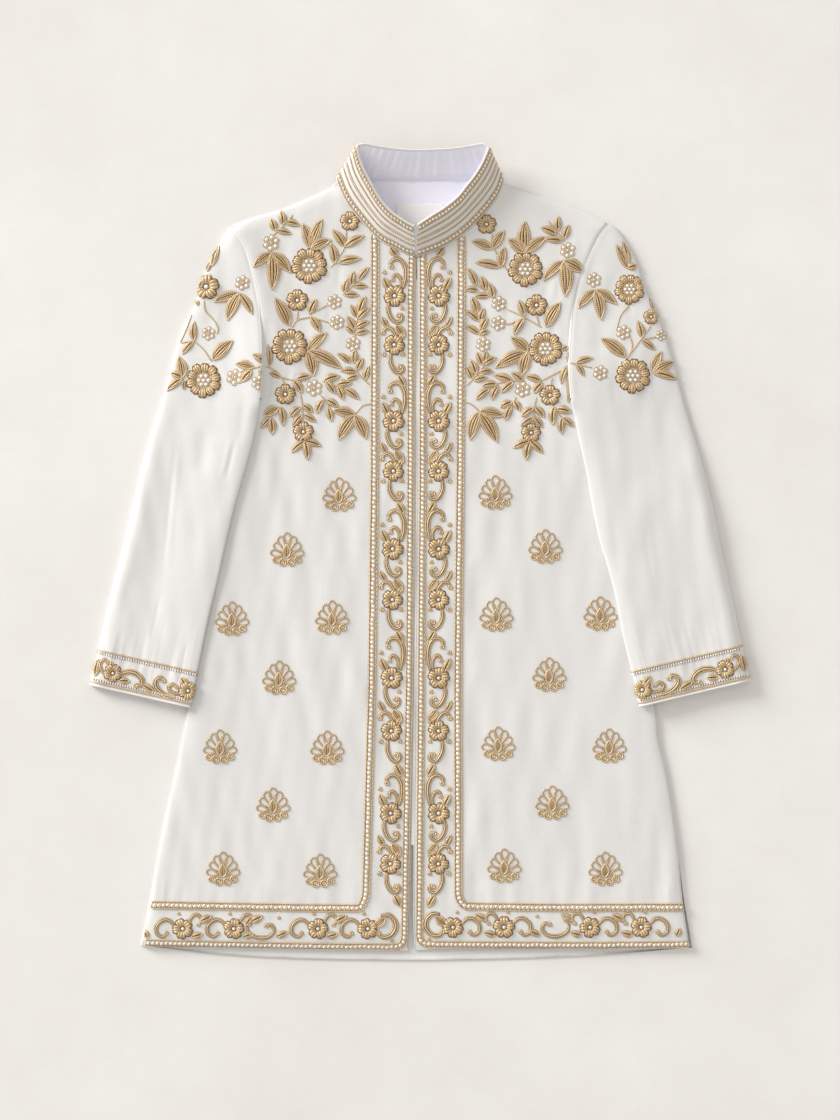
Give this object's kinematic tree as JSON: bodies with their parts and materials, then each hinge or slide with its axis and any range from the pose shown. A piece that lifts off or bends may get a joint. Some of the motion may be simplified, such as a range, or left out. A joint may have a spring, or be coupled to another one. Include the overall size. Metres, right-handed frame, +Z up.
{
  "type": "sherwani coat",
  "caption": "Knee-length ivory sherwani coat laid flat, stand collar, open front, gold raised embroidery and braid along front, hem, cuffs and collar",
  "frame": {"origin": "on the surface the coat lies on, at the middle of the coat's outline seen from above", "axes": "+X to the viewer's right, the wearer's left; +Y from the hem towards the collar; +Z up from the surface"},
  "size_m": [0.7796, 0.9608, 0.0304],
  "materials": {
    "ivory_cloth": "ivory suiting with a fine weave and a soft sheen",
    "lining": "smooth pale lavender-white lining",
    "label_cloth": "plain cream woven label, bare",
    "gold_thread": "antique gold thread, raised, with a satin shine",
    "beads": "small off-white beads"
  },
  "bodies": {
    "root": {"back": "ivory_cloth", "back_lining": "lining", "label": "label_cloth", "front_left": "ivory_cloth", "front_right": "ivory_cloth", "sleeve_left": "ivory_cloth", "sleeve_right": "ivory_cloth", "collar": "ivory_cloth", "collar_lining": "lining", "braid_edge_left": "gold_thread", "braid_edge_right": "gold_thread", "braid_inner_left": "gold_thread", "braid_inner_right": "gold_thread", "cuff_braid_top_left": "gold_thread", "cuff_braid_top_right": "gold_thread", "cuff_braid_hem_left": "gold_thread", "cuff_braid_hem_right": "gold_thread"}
  },
  "joints": []
}
